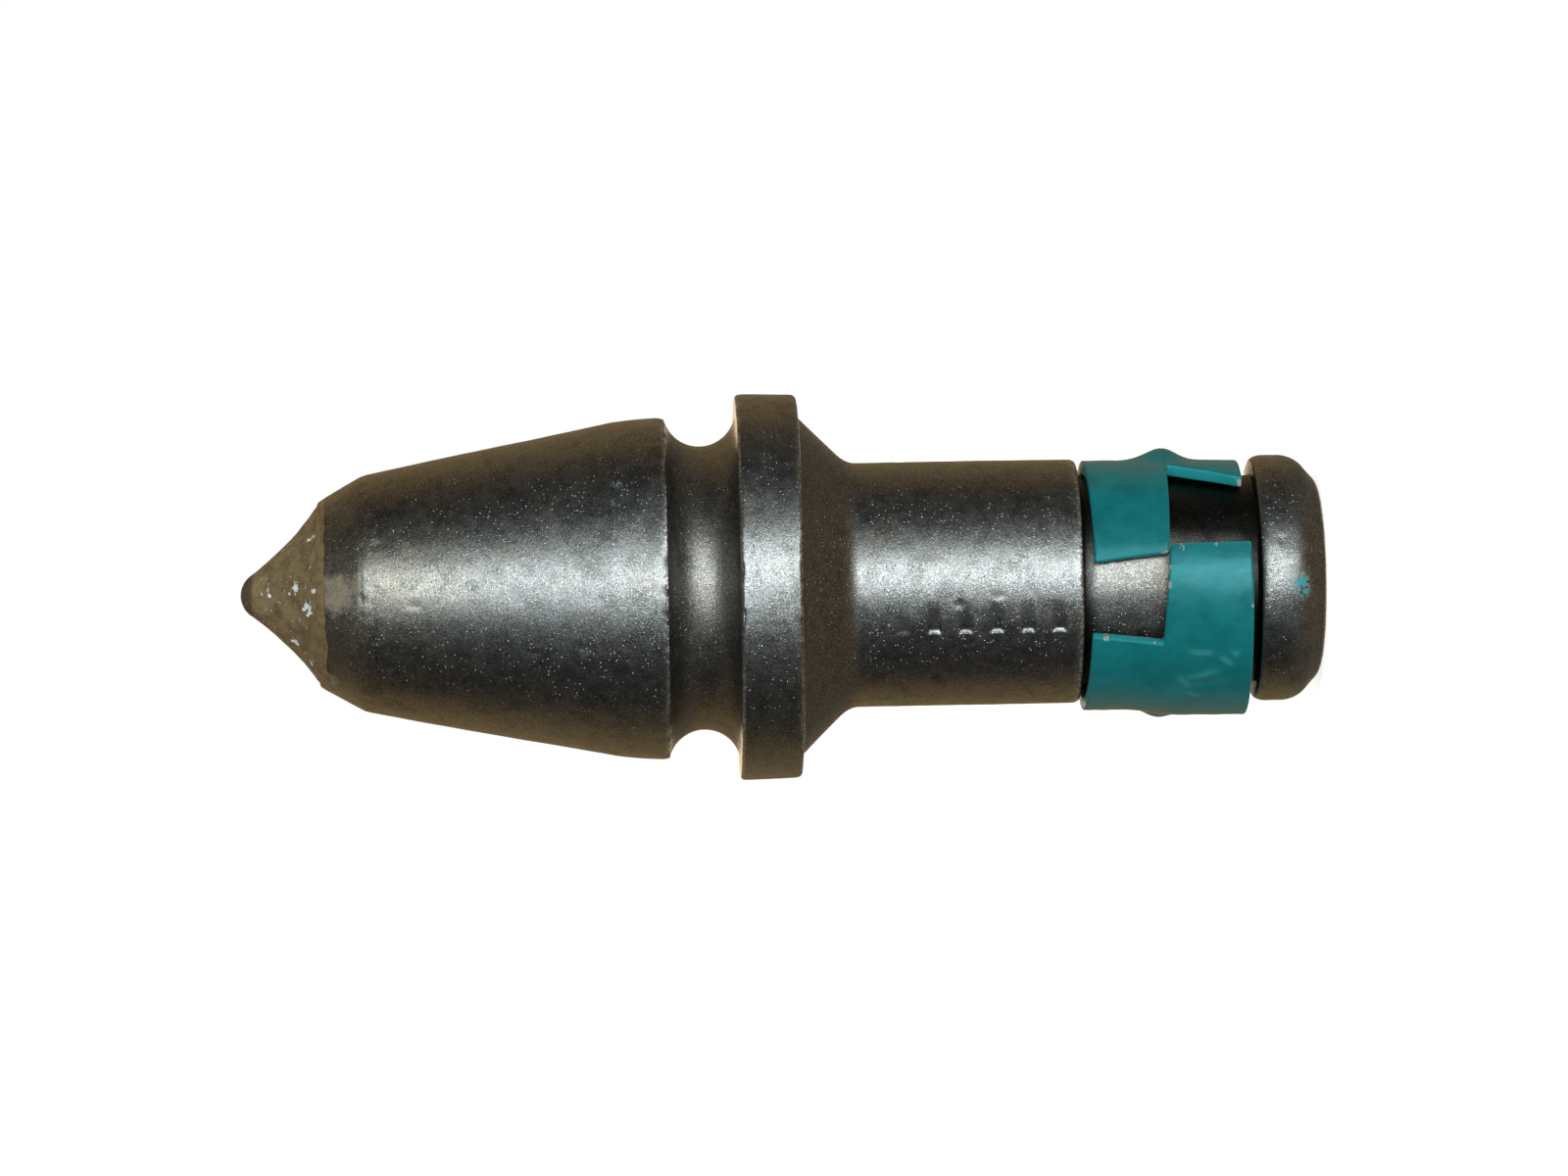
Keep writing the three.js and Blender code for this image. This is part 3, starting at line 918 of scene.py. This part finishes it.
def carbide():
    s = Shader("carbide")
    dust = s.noise(1.6, 5, 0.6)
    grain = s.noise(0.22, 4, 0.7)
    base = s.mix(s.ramp(dust, 0.35, 0.7), (0.175, 0.122, 0.054), (0.088, 0.058, 0.026))
    base = s.mix(s.ramp(grain, 0.5, 0.25, 0, 0.7), base, (0.05, 0.034, 0.016))
    base = s.mix(s.ramp(grain, 0.55, 0.8, 0, 0.6), base, (0.34, 0.29, 0.2))
    base = s.mix(s.maths("MULTIPLY", s.painted("nose_cap"), 0.85), base, (0.045, 0.03, 0.017))
    patches = s.ramp(s.noise(1.8, 3), 0.46, 0.6)
    flecks = s.maths("MULTIPLY", s.ramp(s.cells(0.4), 0.2, 0.1), patches)
    base = s.mix(s.maths("MULTIPLY", flecks, 0.7), base, (0.36, 0.33, 0.24))
    chips = s.maths("ADD", s.painted("fresh"), s.ramp(s.noise(0.55, 3), 0.3, 0.7, -0.5, 0.5))
    base = s.mix(s.ramp(chips, 0.46, 0.54), base, (0.55, 0.56, 0.54))
    s.set(Base_Color=base, Metallic=0.3, Roughness=s.ramp(dust, 0.3, 0.7, 0.5, 0.65))
    s.set(Normal=s.bump(grain, 0.03, s.bump(s.cells(0.5), 0.02)))
    return s.material


def braze():
    s = Shader("braze")
    tone = s.noise(0.8, 4, 0.6)
    base = s.mix(s.ramp(tone, 0.35, 0.7), (0.21, 0.15, 0.07), (0.12, 0.085, 0.045))
    s.set(Base_Color=base, Metallic=0.6, Roughness=s.ramp(tone, 0.3, 0.7, 0.4, 0.55))
    s.set(Normal=s.bump(s.noise(0.25, 3), 0.03))
    return s.material


def teal_paint():
    s = Shader("teal_paint")
    tone = s.noise(3.0, 4, 0.6)
    peel = s.noise(0.45, 3, 0.5)
    base = s.mix(s.ramp(tone, 0.3, 0.7), (0.0004, 0.06, 0.063), (0.0006, 0.08, 0.084))
    base = s.mix(s.ramp(s.noise(0.7, 3), 0.6, 0.75, 0, 0.3), base, (0.002, 0.05, 0.053))
    base = s.mix(s.maths("MULTIPLY", s.painted("scraped"), 0.3), base, (0.05, 0.22, 0.23))
    edge = s.painted("cut_edge")
    # Painted highlight: the sheet's cut edges are painted a lighter teal, as if they caught the light.
    base = s.mix(s.ramp(edge, 0.8, 1.0, 0, 0.5), base, (0.012, 0.2, 0.21))
    chips = s.maths("ADD", s.painted("chipped"), s.ramp(s.noise(0.5, 3), 0.3, 0.7, -0.45, 0.45))
    chips = s.maths("MULTIPLY", edge, s.ramp(chips, 0.5, 0.6))
    base = s.mix(chips, base, (0.24, 0.225, 0.21))
    rough = s.maths("ADD", s.ramp(tone, 0.3, 0.7, 0.33, 0.42), s.maths("MULTIPLY", edge, 0.12))
    s.set(Base_Color=base, Metallic=0.0, Specular_IOR_Level=0.5, Roughness=rough)
    s.set(Specular_Tint=(0.32, 0.92, 1.0, 1.0))
    s.set(Normal=s.bump(chips, -0.03, s.bump(peel, 0.014)))
    return s.material


# ---------------------------------------------------------------- the studio


def stage_floor():
    """A wide plain pale floor that the pick stands on."""
    size = 6.0
    corners = [(-size, -size, 0), (size, -size, 0), (size, size, 0), (-size, size, 0)]
    mesh = bpy.data.meshes.new("floor")
    mesh.from_pydata(corners, [], [(0, 1, 2, 3)])
    floor = linked("floor", mesh)
    s = Shader("pale_floor")
    s.set(Base_Color=(0.5, 0.5, 0.49, 1), Roughness=0.9, Specular_IOR_Level=0.1)
    s.set(Emission_Color=(1, 1, 1, 1), Emission_Strength=0.8)
    mesh.materials.append(s.material)
    floor.visible_glossy = False
    floor.visible_shadow = False


def studio_world():
    """White behind the pick, a grey fill for matt surfaces, and a dim room that is warm at the back."""
    world = bpy.data.worlds.new("studio")
    bpy.context.scene.world = world
    world.use_nodes = True
    tree = world.node_tree
    tree.nodes.clear()

    def link(a, b):
        tree.links.new(a, b)

    def mixed(share, a, b):
        node = tree.nodes.new("ShaderNodeMix")
        node.data_type = "RGBA"
        link(share, node.inputs[0])
        for socket, value in ((node.inputs[6], a), (node.inputs[7], b)):
            if isinstance(value, tuple):
                socket.default_value = (*value, 1)
            else:
                link(value, socket)
        return node.outputs[2]

    def step(value, low, high):
        node = tree.nodes.new("ShaderNodeMapRange")
        node.interpolation_type = "SMOOTHSTEP"
        link(value, node.inputs["Value"])
        node.inputs["From Min"].default_value = low
        node.inputs["From Max"].default_value = high
        return node.outputs[0]

    way = tree.nodes.new("ShaderNodeSeparateXYZ")
    link(tree.nodes.new("ShaderNodeTexCoord").outputs["Generated"], way.inputs[0])
    room = mixed(step(way.outputs["Y"], 0.05, 0.55), (0.033, 0.035, 0.037), (0.42, 0.30, 0.15))
    room = mixed(step(way.outputs["Z"], 0.45, 0.95), room, (0.20, 0.175, 0.14))
    room = mixed(step(way.outputs["Z"], -0.15, -0.5), room, (0.18, 0.16, 0.13))
    room = mixed(step(way.outputs["Z"], -0.6, -0.95), room, (0.27, 0.2, 0.115))
    path = tree.nodes.new("ShaderNodeLightPath")
    lit = mixed(path.outputs["Is Diffuse Ray"], room, (0.55, 0.55, 0.55))
    seen = mixed(path.outputs["Is Camera Ray"], lit, (1.0, 1.0, 1.0))
    background = tree.nodes.new("ShaderNodeBackground")
    link(seen, background.inputs[0])
    output = tree.nodes.new("ShaderNodeOutputWorld")
    link(background.outputs[0], output.inputs[0])


def softbox(name, place, target, width, height, power, tint, roll=0):
    """A rectangular light that faces a target, rolled about its own direction by some degrees."""
    light = bpy.data.lights.new(name, "AREA")
    light.shape = "RECTANGLE"
    light.size = width
    light.size_y = height
    light.energy = power
    light.color = tint
    lamp = linked(name, light)
    aim = (Vector(target) - Vector(place)).to_track_quat("-Z", "Y").to_matrix().to_4x4()
    lamp.matrix_world = Matrix.Translation(place) @ aim @ Matrix.Rotation(math.radians(roll), 4, "Z")
    lamp.visible_camera = False


def studio_lights():
    """A tall cool strip in front, which gives the long highlights, and a faint warm one behind."""
    middle = (0, 0, 0.06)
    cool = (0.88, 0.97, 1.0)
    warm = (1.0, 0.8, 0.55)
    softbox("key", (0.17, -0.94, 0.06), middle, width=0.25, height=1.3, power=15.5, tint=cool, roll=7)
    softbox("back", (0.0, 0.95, 0.06), middle, width=0.24, height=1.3, power=2.4, tint=warm)


def photo_camera():
    """Far off and level with the cone, aimed at the pick's middle, with +X up and the tip at the left."""
    place = Vector((-0.17, -700, 74.7)) * MM
    target = Vector((-0.17, 0, 54.6)) * MM
    roll = math.radians(1.05)
    data = bpy.data.cameras.new("camera")
    data.sensor_width = 36
    data.lens = 157.5
    camera = linked("camera", data)
    bpy.context.scene.camera = camera
    back = (place - target).normalized()
    up = math.cos(roll) * Vector((1, 0, 0)) - math.sin(roll) * back.cross(Vector((1, 0, 0)))
    turn = Matrix((up.cross(back), up, back)).transposed().to_4x4()
    camera.matrix_world = Matrix.Translation(place) @ turn


# ---------------------------------------------------------------- assembly


def fit(piece, material, body, node):
    """Gives a piece its material and puts it in the frame, in place of its CAD node."""
    piece.data.materials.append(material)
    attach(piece, body)
    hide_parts(node)


random.seed(7)
photo_camera()
stage_floor()
studio_world()
studio_lights()
fit(pick_body(), forged_steel(), "pick", "pick_body")
fit(carbide_tip(), carbide(), "pick", "carbide_tip")
fit(braze_bead(), braze(), "pick", "braze_seam")
fit(retaining_sleeve(), teal_paint(), "retainer", "retaining_sleeve")
bpy.context.scene.view_settings.view_transform = "Standard"
